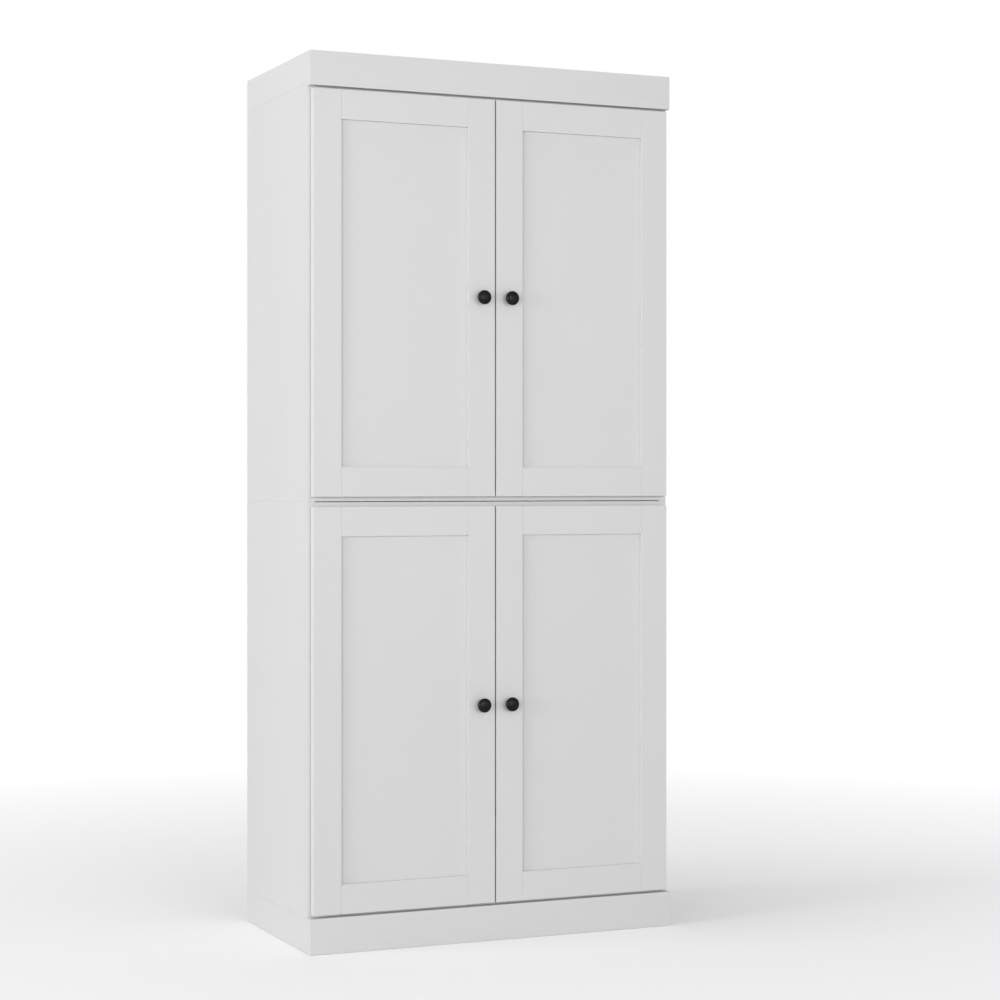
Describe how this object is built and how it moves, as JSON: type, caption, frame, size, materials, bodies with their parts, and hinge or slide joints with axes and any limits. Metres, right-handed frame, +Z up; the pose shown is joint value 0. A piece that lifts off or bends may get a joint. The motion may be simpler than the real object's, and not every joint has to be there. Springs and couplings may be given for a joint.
{
  "type": "pantry cabinet",
  "caption": "Tall white free-standing pantry cabinet of stacked cases with framed doors, round black knobs, shelves, and a plain base and crown.",
  "frame": {"origin": "on the floor below the middle of the whole object's box, knobs included", "axes": "+Z up, +X to the right seen from the front, -Y towards the front (doors and knobs), +Y towards the wall"},
  "size_m": [0.8, 0.4296, 1.79],
  "materials": {
    "case_board": "white satin laminate on board, with thin matching edge bands",
    "door_board": "white satin lacquer on fibreboard door frames and panels, faint spray texture",
    "back_board": "thin white hardboard, smooth in front, with a fine pressed screen pattern on its rear face",
    "knob_black": "semi-matt black coating on turned metal",
    "hinge_steel": "bright nickel-plated pressed steel"
  },
  "bodies": {
    "cabinet": {"base_front_board": "case_board", "base_left_return": "case_board", "base_right_return": "case_board", "crown_front_board": "case_board", "crown_left_return": "case_board", "crown_right_return": "case_board", "lower_left_side_panel": "case_board", "lower_right_side_panel": "case_board", "lower_bottom_panel": "case_board", "lower_top_panel": "case_board", "lower_back_panel": "back_board", "lower_shelf_1": "case_board", "lower_shelf_2": "case_board", "upper_left_side_panel": "case_board", "upper_right_side_panel": "case_board", "upper_bottom_panel": "case_board", "upper_top_panel": "case_board", "upper_back_panel": "back_board", "upper_shelf_1": "case_board", "upper_shelf_2": "case_board", "lower_left_top_hinge_arm": "hinge_steel", "lower_left_bottom_hinge_arm": "hinge_steel", "lower_right_top_hinge_arm": "hinge_steel", "lower_right_bottom_hinge_arm": "hinge_steel", "upper_left_top_hinge_arm": "hinge_steel", "upper_left_bottom_hinge_arm": "hinge_steel", "upper_right_top_hinge_arm": "hinge_steel", "upper_right_bottom_hinge_arm": "hinge_steel"},
    "lower_left_door": {"lower_left_door_hinge_stile": "door_board", "lower_left_door_meeting_stile": "door_board", "lower_left_door_top_rail": "door_board", "lower_left_door_bottom_rail": "door_board", "lower_left_door_panel": "door_board", "lower_left_door_knob": "knob_black", "lower_left_top_hinge_cup": "hinge_steel", "lower_left_bottom_hinge_cup": "hinge_steel"},
    "lower_right_door": {"lower_right_door_hinge_stile": "door_board", "lower_right_door_meeting_stile": "door_board", "lower_right_door_top_rail": "door_board", "lower_right_door_bottom_rail": "door_board", "lower_right_door_panel": "door_board", "lower_right_door_knob": "knob_black", "lower_right_top_hinge_cup": "hinge_steel", "lower_right_bottom_hinge_cup": "hinge_steel"},
    "upper_left_door": {"upper_left_door_hinge_stile": "door_board", "upper_left_door_meeting_stile": "door_board", "upper_left_door_top_rail": "door_board", "upper_left_door_bottom_rail": "door_board", "upper_left_door_panel": "door_board", "upper_left_door_knob": "knob_black", "upper_left_top_hinge_cup": "hinge_steel", "upper_left_bottom_hinge_cup": "hinge_steel"},
    "upper_right_door": {"upper_right_door_hinge_stile": "door_board", "upper_right_door_meeting_stile": "door_board", "upper_right_door_top_rail": "door_board", "upper_right_door_bottom_rail": "door_board", "upper_right_door_panel": "door_board", "upper_right_door_knob": "knob_black", "upper_right_top_hinge_cup": "hinge_steel", "upper_right_bottom_hinge_cup": "hinge_steel"}
  },
  "joints": [
    {"name": "lower_left_door_hinge", "type": "hinge", "parent": "cabinet", "child": "lower_left_door", "pos_m": [-0.3872, -0.18625, 0.48175], "axis": [0, 0, -1], "range_deg": [0, 105]},
    {"name": "lower_right_door_hinge", "type": "hinge", "parent": "cabinet", "child": "lower_right_door", "pos_m": [0.3872, -0.18625, 0.48175], "axis": [0, 0, 1], "range_deg": [0, 105]},
    {"name": "upper_left_door_hinge", "type": "hinge", "parent": "cabinet", "child": "upper_left_door", "pos_m": [-0.3872, -0.18625, 1.31125], "axis": [0, 0, -1], "range_deg": [0, 105]},
    {"name": "upper_right_door_hinge", "type": "hinge", "parent": "cabinet", "child": "upper_right_door", "pos_m": [0.3872, -0.18625, 1.31125], "axis": [0, 0, 1], "range_deg": [0, 105]}
  ]
}
